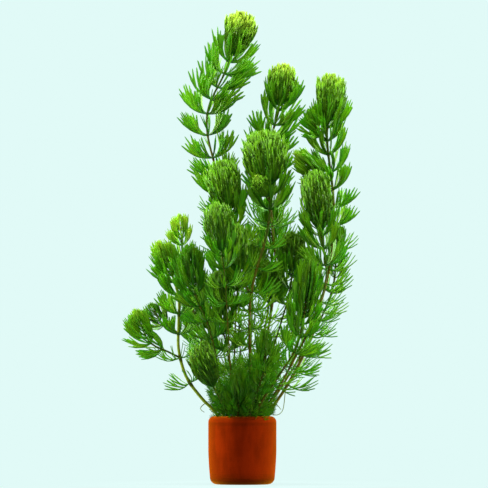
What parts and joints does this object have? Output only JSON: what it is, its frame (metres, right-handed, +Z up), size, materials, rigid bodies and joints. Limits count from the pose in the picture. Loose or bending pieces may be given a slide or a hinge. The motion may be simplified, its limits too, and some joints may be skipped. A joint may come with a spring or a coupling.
{
  "type": "potted aquatic plant",
  "caption": "Bushy hornwort in a small round clay pot: slender stems ringed with forked needle leaves, each ending in a dense rounded tuft.",
  "frame": {"origin": "middle of the pot's flat foot, on the surface it stands on", "axes": "+Z up along the pot's axis, +Y away from the viewer of the picture, +X to the viewer's right"},
  "size_m": [0.1552, 0.1052, 0.3118],
  "materials": {
    "fired clay": "matte",
    "planting wool": "matte",
    "grown leaves": "satin",
    "young leaves": "satin"
  },
  "bodies": {
    "root": {"pot": "fired clay", "planting_wool": "planting wool", "stem_01": "grown leaves", "stem_01_tuft": "young leaves", "stem_02": "grown leaves", "stem_02_tuft": "young leaves", "stem_03": "grown leaves", "stem_03_tuft": "young leaves", "stem_04": "grown leaves", "stem_04_tuft": "young leaves", "stem_05": "grown leaves", "stem_05_tuft": "young leaves", "stem_06": "grown leaves", "stem_06_tuft": "young leaves", "stem_07": "grown leaves", "stem_07_tuft": "young leaves", "stem_08": "grown leaves", "stem_08_tuft": "young leaves", "stem_09": "grown leaves", "stem_09_tuft": "young leaves", "stem_10": "grown leaves", "stem_10_tuft": "young leaves", "stem_11": "grown leaves", "stem_11_tuft": "young leaves", "stem_12": "grown leaves", "stem_12_tuft": "young leaves", "stem_13": "grown leaves", "stem_13_tuft": "young leaves", "stem_14": "grown leaves", "stem_14_tuft": "young leaves", "stem_15": "grown leaves", "stem_15_tuft": "young leaves", "stem_16": "grown leaves", "stem_16_tuft": "young leaves", "stem_17": "grown leaves", "stem_17_tuft": "young leaves", "stem_18": "grown leaves", "stem_18_tuft": "young leaves", "stem_19": "grown leaves", "stem_19_tuft": "young leaves", "stem_20": "grown leaves", "stem_20_tuft": "young leaves", "stem_21": "grown leaves", "stem_21_tuft": "young leaves", "stem_22": "grown leaves", "stem_22_tuft": "young leaves", "stem_23": "grown leaves", "stem_23_tuft": "young leaves", "branch_01": "grown leaves", "branch_01_tuft": "young leaves", "branch_02": "grown leaves", "branch_02_tuft": "young leaves", "branch_03": "grown leaves", "branch_03_tuft": "young leaves", "branch_04": "grown leaves", "branch_04_tuft": "young leaves", "branch_05": "grown leaves", "branch_05_tuft": "young leaves", "branch_06": "grown leaves", "branch_06_tuft": "young leaves"}
  },
  "joints": []
}
